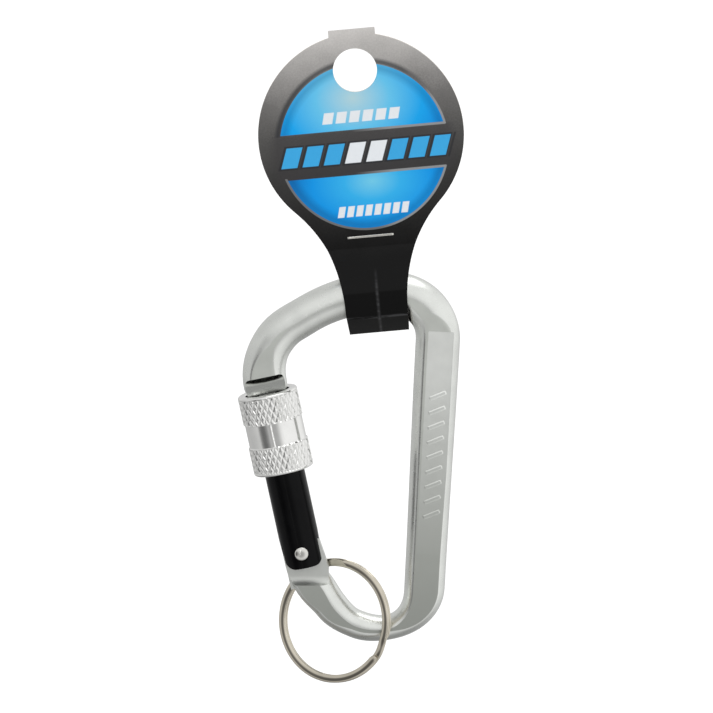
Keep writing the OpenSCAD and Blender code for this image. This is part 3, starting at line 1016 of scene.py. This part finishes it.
def print_disc(s, colour):
    """A blue disc cut by a grey stripe, with a soft shade round it and a dark rim."""
    inside = s.below(s.disc, DISC_R)
    upper = s.both(inside, s.beyond(s.q, STRIPE_TOP))
    lower = s.both(inside, s.below(s.q, STRIPE_FOOT))
    halo = s.within(s.disc, DISC_R, DISC_R + 1.1, 0.7)
    halo = s.both(halo, s.beyond(s.q, 35.0), s.below(s.p, 13.0, 6.0))
    colour = s.mix(s.scaled(halo, 0.75), colour, linear(44, 46, 50))
    stripe = s.both(s.within(s.q, STRIPE_FOOT, 35.2, 0.6), s.below(s.disc, DISC_R + 1.5, 2.0))
    colour = s.mix(s.scaled(stripe, 0.5), colour, linear(58, 56, 58))
    for part, (centre, stretch, reach, stops) in ((upper, GLOW_TOP), (lower, GLOW_LOW)):
        spread = s.math("DIVIDE", s.distance(*centre, stretch), reach, clamp=True)
        glow = s.ramp(spread, [(at, linear(*level)) for at, level in stops])
        colour = s.mix(part, colour, glow)
    rim = s.both(s.within(s.disc, DISC_R - 1.6, DISC_R, 1.4), s.either(upper, lower))
    return s.mix(s.scaled(rim, 0.3), colour, linear(4, 60, 104))


def print_lines(s, colour):
    """Thin pale lines along the stripe's edges and parts of the disc's edge."""
    right = s.beyond(s.p, 2.0, 8.0)
    on_disc = s.below(s.disc, DISC_R + 0.3)
    lines = s.either(
        s.both(s.within(s.q, STRIPE_TOP - 0.5, STRIPE_TOP), on_disc, right),
        s.both(s.within(s.q, STRIPE_FOOT, STRIPE_FOOT + 0.5), on_disc, right),
    )
    upper_arc = s.both(s.beyond(s.q, 34.9), s.beyond(s.p, 15.0, 2.0))
    arcs = s.both(
        s.within(s.disc, DISC_R, DISC_R + 0.45),
        s.either(s.below(s.q, 26.0), upper_arc),
        s.either(right, 0.55),
    )
    return s.mix(s.scaled(s.either(lines, arcs), 0.8), colour, linear(150, 152, 154))


def print_bars(s, colour):
    """Two small white rows, and a big row with a white middle and a dark shade round it."""
    white = linear(222, 226, 230)
    for row in SMALL_ROWS:
        colour = s.mix(s.bars(*row), colour, white)
    colour = s.mix(s.scaled(s.bars(*BIG_ROW_SHADE), 0.6), colour, linear(36, 38, 42))
    middle = s.within(s.leaned(BIG_FOOT, BIG_SLANT), -BIG_PITCH, BIG_PITCH, 0.4)
    return s.mix(s.bars(*BIG_ROW), colour, s.mix(middle, linear(58, 162, 218), white))


def fold_wear_and_crease_highlight(s, colour, crease):
    """Pale flecks along the lower fold, where the print has cracked, and a painted highlight streak down
    the crease, stronger where the flecks fall.
    """
    specks = s.beyond(s.noise(1.6, 3.0, (0.5, 1.0, 2.0)), 0.52, 0.14)
    crease_highlight_level = s.math("ADD", s.scaled(specks, 0.5), 0.5)
    fold = s.both(s.near(s.q, LOOP_BOTTOM, 0.4), specks)
    # Worn-print flecks on the fold, and a painted highlight along the crease.
    wear_and_highlight = s.either(fold, s.both(crease, crease_highlight_level))
    return s.mix(s.scaled(wear_and_highlight, 0.45), colour, linear(84, 84, 86))


def card_material():
    """Glossy printed card: the print in front, and grey with a pale patch behind."""
    s = CardShader("printed_card", IOR=1.45)
    card = card_fade(s)
    # The crease down the strap: a ridge in the bump, and a painted highlight streak in the colour.
    crease = s.both(s.near(s.p, 0.4, 0.45), s.below(s.q, 4.0, 4.0))
    colour = print_bars(s, print_lines(s, print_disc(s, card)))
    colour = fold_wear_and_crease_highlight(s, colour, crease)
    left, right, foot, top = PATCH
    patch = s.both(s.within(s.p, left, right), s.within(s.q, foot, top))
    rear = s.mix(patch, card, linear(206, 208, 210))
    s.set("Base Color", s.mix(s.front, rear, colour))
    fibre = s.noise(0.5, 4.0)
    wave = s.noise(6.0, 1.0, (1.6, 1.0, 0.5))
    s.set("Roughness", s.ramp(fibre, [(0.3, 0.28), (0.75, 0.4)]))
    relief = s.math("ADD", s.scaled(fibre, 0.04), wave)
    s.bump(s.math("ADD", relief, s.scaled(crease, 0.8)), 0.12, 0.6)
    s.set("Specular IOR Level", 0.16)
    return s.material


def pulp_material():
    """The bare cut edges of the card."""
    s = Shader("card_edge")
    fibre = s.noise(0.3, 4.0, (1, 1, 3))
    s.set("Base Color", s.ramp(fibre, [(0.3, linear(196, 192, 184)), (0.7, linear(226, 222, 214))]))
    s.set("Roughness", 0.85)
    s.bump(fibre, 0.03)
    return s.material


def bent(corners, radius, steps=5):
    """A line of straight runs with each inner corner rounded."""
    out = [corners[0]]
    for a, b, c in zip(corners, corners[1:], corners[2:]):
        a, b, c = Vector(a), Vector(b), Vector(c)
        first, second = (a - b).normalized(), (c - b).normalized()
        half = first.angle(second) / 2
        cut = min(radius / math.tan(half), (a - b).length * 0.45, (c - b).length * 0.45)
        start, end = b + first * cut, b + second * cut
        for k in range(steps + 1):
            t = k / steps
            out.append(tuple(start * (1 - t) ** 2 + b * 2 * t * (1 - t) + end * t * t))
    out.append(corners[-1])
    return out


def card_strip():
    """The folded strip seen from the side, as (depth, up): outer face, then inner face."""
    side = LOOP_GAP + CARD
    rear = [(FOLD_FLAT, FOLD_BOTTOM - CARD), (side, LOOP_BOTTOM), (side, LOOP_TOP)]
    rear += [(CARD, LOOP_JOIN), (CARD, TAB_TOP)]
    inside = [(LAYER_GAP, TAB_TOP), (LAYER_GAP, LOOP_JOIN), (LOOP_GAP, LOOP_TOP), (LOOP_GAP, LOOP_BOTTOM)]
    return bent(mirrored(rear) + rear, 0.9) + bent(
        inside + [(0.0, FOLD_BOTTOM)] + mirrored(inside), 0.6
    )


def card_outline():
    """The tag seen from the front: a flared neck, a round face and a tab."""
    flare_x = NECK_HALF + FLARE_R
    flare_q = FACE_Q - math.sqrt((FACE_R + FLARE_R) ** 2 - flare_x**2)
    meet = math.degrees(math.atan2(FACE_Q - flare_q, -flare_x))
    low = math.degrees(math.atan2(flare_q - FACE_Q, flare_x))
    tab_angle = math.degrees(math.acos(TAB_HALF / FACE_R))
    right = [(FOLD_HALF, FOLD_BOTTOM - 2.0), (FOLD_HALF, FOLD_BOTTOM)]
    right += arc((flare_x, flare_q), FLARE_R, 180, meet, 24)
    right += arc((0.0, FACE_Q), FACE_R, low, tab_angle, 56)[1:]
    right += [(TAB_HALF, TAB_TOP + 2.0)]
    return right + mirrored(right)


def make_tag():
    materials = [card_material(), pulp_material()]
    cut_edge = 1
    points, faces = prism(card_strip(), -30.0, 30.0, lambda y, z, x: on_tag((x, y, z)))
    obj = mesh_object("card_tag", points, faces, materials)
    for operation, outline, half in (
        ("INTERSECT", card_outline(), 9.0),
        ("DIFFERENCE", circle((0.0, HOLE_Q), HOLE_R, 72), 3.0),
    ):
        shape = prism(outline, -half, half, lambda x, z, y: on_tag((x, y, z)))
        combine(obj, operation, shape, materials, cut_edge)
    finish_piece(obj, "tag", "tag_card", "hang_tag")


STAPLE_Q, STAPLE_WIDTH, STAPLE_TAIL, STAPLE_BEND = 12.3, 10.2, 3.55, 0.3
# Half sizes of the staple's flattened wire, up the card and through it.
STAPLE_HALF_UP, STAPLE_HALF_DEEP = 0.25, 0.15
STAPLE_SIDES = 12


def make_staple():
    """A wire across the front, through the card, and back along the rear towards the middle."""
    wire = metal("staple_wire_metal", linear(214, 212, 206), 0.16, 0.04, 0.3, 0.002)
    half = STAPLE_WIDTH / 2 - STAPLE_HALF_UP
    front, rear = -CARD - STAPLE_HALF_DEEP, CARD + STAPLE_HALF_DEEP
    leg = [(half, front), (half, rear), (half - STAPLE_TAIL, rear)]
    path = bent(mirrored(leg) + leg, STAPLE_BEND)
    section = []
    for k in range(STAPLE_SIDES):
        a = 2 * math.pi * (k + 0.5) / STAPLE_SIDES
        up = STAPLE_HALF_UP * power(math.cos(a), 0.6)
        section.append((up, STAPLE_HALF_DEEP * power(math.sin(a), 0.7)))
    points = []
    for i, (x, y) in enumerate(path):
        x0, y0 = path[max(i - 1, 0)]
        x1, y1 = path[min(i + 1, len(path) - 1)]
        size = math.hypot(x1 - x0, y1 - y0)
        nx, ny = -(y1 - y0) / size, (x1 - x0) / size
        points += [on_tag((x + nx * b, y + ny * b, STAPLE_Q + a)) for a, b in section]
    obj = mesh_object("wire_staple", points, tube_faces(len(path), STAPLE_SIDES), [wire])
    finish_piece(obj, "tag", "staple_wire", "staple")


make_tag()
make_staple()

# ---------------------------------------------------------------- floor, light
FLOOR_Z = -130.0
FLOOR_HALF = 6000.0
FLOOR_LEVELS = (0.955, 0.97)


def make_stage():
    s = Shader("floor_white", Roughness=0.9)
    s.set("Specular IOR Level", 0.1)
    low, high = FLOOR_LEVELS
    s.set("Base Color", s.ramp(s.noise(60.0, 2.0), [(0.3, low), (0.7, high)]))
    corners = [(-1, -1), (1, -1), (1, 1), (-1, 1)]
    points = [(x * FLOOR_HALF, y * FLOOR_HALF, FLOOR_Z) for x, y in corners]
    floor = mesh_object("floor", points, [(0, 1, 2, 3)], [s.material])
    floor.visible_glossy = False


# Each lobe dims the light from round a direction: (direction, (cosine, level) stops).
WORLD_LOBES = [
    (
        (-0.06, -0.98, -0.2),
        [(0.0, 1.0), (0.76, 1.0), (0.87, 0.9), (0.94, 0.62), (0.97, 0.48), (1.0, 0.44)],
    ),
    ((-0.72, -0.68, -0.16), [(0.0, 1.0), (0.9, 1.0), (0.945, 0.45), (0.975, 0.22), (1.0, 0.18)]),
    ((-1.0, 0.2, -0.1), [(0.0, 1.0), (0.2, 0.94), (0.55, 0.76), (1.0, 0.66)]),
    ((0.0, 0.3, 1.0), [(0.0, 0.97), (0.5, 0.97), (0.85, 0.82), (1.0, 0.68)]),
    ((0.0, 0.35, -1.0), [(0.0, 1.0), (0.25, 0.95), (0.6, 0.7), (0.85, 0.42), (1.0, 0.28)]),
    ((0.1, 1.0, 0.0), [(0.0, 1.0), (0.7, 1.0), (0.88, 0.82), (1.0, 0.7)]),
]
WORLD_STRENGTH = 1.1


def lobed_light(tree):
    """White from every direction, multiplied by the level of each lobe."""
    coords = tree.nodes.new("ShaderNodeTexCoord")
    level = None
    for way, stops in WORLD_LOBES:
        dot = tree.nodes.new("ShaderNodeVectorMath")
        dot.operation = "DOT_PRODUCT"
        tree.links.new(coords.outputs["Generated"], dot.inputs[0])
        dot.inputs[1].default_value = Vector(way).normalized()
        ramp = tree.nodes.new("ShaderNodeValToRGB")
        fill_ramp(ramp.color_ramp, stops)
        tree.links.new(dot.outputs["Value"], ramp.inputs["Fac"])
        if level is None:
            level = ramp.outputs["Color"]
            continue
        product = tree.nodes.new("ShaderNodeMix")
        product.data_type = "RGBA"
        product.blend_type = "MULTIPLY"
        product.inputs["Factor"].default_value = 1.0
        tree.links.new(level, product.inputs["A"])
        tree.links.new(ramp.outputs["Color"], product.inputs["B"])
        level = colour_output(product)
    return level


def make_world():
    """The lobes light the object, and the view past it is plain white."""
    world = bpy.data.worlds.new("studio")
    bpy.context.scene.world = world
    world.use_nodes = True
    tree = world.node_tree
    tree.nodes.clear()
    output = tree.nodes.new("ShaderNodeOutputWorld")
    lighting = tree.nodes.new("ShaderNodeBackground")
    backdrop = tree.nodes.new("ShaderNodeBackground")
    backdrop.inputs["Color"].default_value = (1.0, 1.0, 1.0, 1.0)
    choose = tree.nodes.new("ShaderNodeMixShader")
    rays = tree.nodes.new("ShaderNodeLightPath")
    tree.links.new(rays.outputs["Is Camera Ray"], choose.inputs[0])
    tree.links.new(lighting.outputs[0], choose.inputs[1])
    tree.links.new(backdrop.outputs[0], choose.inputs[2])
    tree.links.new(choose.outputs[0], output.inputs["Surface"])
    tree.links.new(lobed_light(tree), lighting.inputs["Color"])
    lighting.inputs["Strength"].default_value = WORLD_STRENGTH


def strip_light():
    """A tall narrow light in front of the clip."""
    place, target = Vector((-0.15, -0.82, 0.0)), Vector((0, 0, -0.01))
    data = bpy.data.lights.new("strip", "AREA")
    data.shape = "RECTANGLE"
    data.size, data.size_y = 0.05, 0.6
    data.energy = 0.12
    light = bpy.data.objects.new("strip", data)
    light.location = place
    light.rotation_euler = (target - place).to_track_quat("-Z", "Y").to_euler()
    light.visible_camera = False
    bpy.context.scene.collection.objects.link(light)


def overhead_light():
    """A wide soft sun from above."""
    data = bpy.data.lights.new("overhead", "SUN")
    data.energy = 1.0
    data.angle = math.radians(50.0)
    light = bpy.data.objects.new("overhead", data)
    light.rotation_euler = Vector((0.1, 0.15, 1.0)).to_track_quat("Z", "Y").to_euler()
    bpy.context.scene.collection.objects.link(light)


make_stage()
make_world()
strip_light()
overhead_light()
bpy.context.scene.view_settings.view_transform = "Standard"
